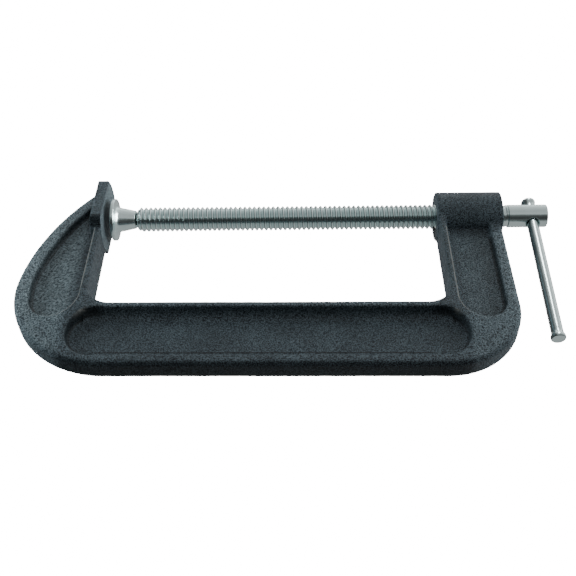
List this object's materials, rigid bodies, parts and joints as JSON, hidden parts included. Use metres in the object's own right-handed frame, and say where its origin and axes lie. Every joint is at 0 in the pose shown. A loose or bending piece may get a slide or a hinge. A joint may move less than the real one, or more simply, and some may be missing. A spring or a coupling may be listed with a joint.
{
  "type": "c clamp",
  "caption": "C clamp with an I-section cast iron frame, a threaded steel screw, a swivel pad on a ball and a sliding T-bar handle.",
  "frame": {"origin": "centre of the anvil face, on the axis of the screw", "axes": "+X along the screw from the anvil to the handle, +Y from the spine towards the screw, +Z across the width of the casting, which lies on its side"},
  "size_m": [0.3401, 0.1593, 0.0336],
  "materials": {
    "painted_casting": "rough painted sand casting",
    "plated_screw": "bright zinc plate",
    "plated_pad": "bright zinc plate",
    "plated_bar": "bright zinc plate"
  },
  "bodies": {
    "frame": {"frame": "painted_casting"},
    "pad": {"swivel_pad": "plated_pad"},
    "screw": {"screw": "plated_screw"},
    "handle": {"handle_bar": "plated_bar"}
  },
  "joints": [
    {"name": "screw_travel", "type": "slide", "parent": "frame", "child": "pad", "axis": [1, 0, 0], "range_m": [-0.0036, 0.1996]},
    {"name": "screw_turn", "type": "hinge", "parent": "pad", "child": "screw", "pos_m": [0, 0, 0], "axis": [1, 0, 0], "range_deg": [-406, 22620]},
    {"name": "handle_slide", "type": "slide", "parent": "screw", "child": "handle", "axis": [0, -0.9945, -0.1045], "range_m": [-0.087, 0]}
  ],
  "couplings": [
    {"joint": "screw_travel", "follows": "screw_turn", "m_per_rad": 0.00050532}
  ]
}
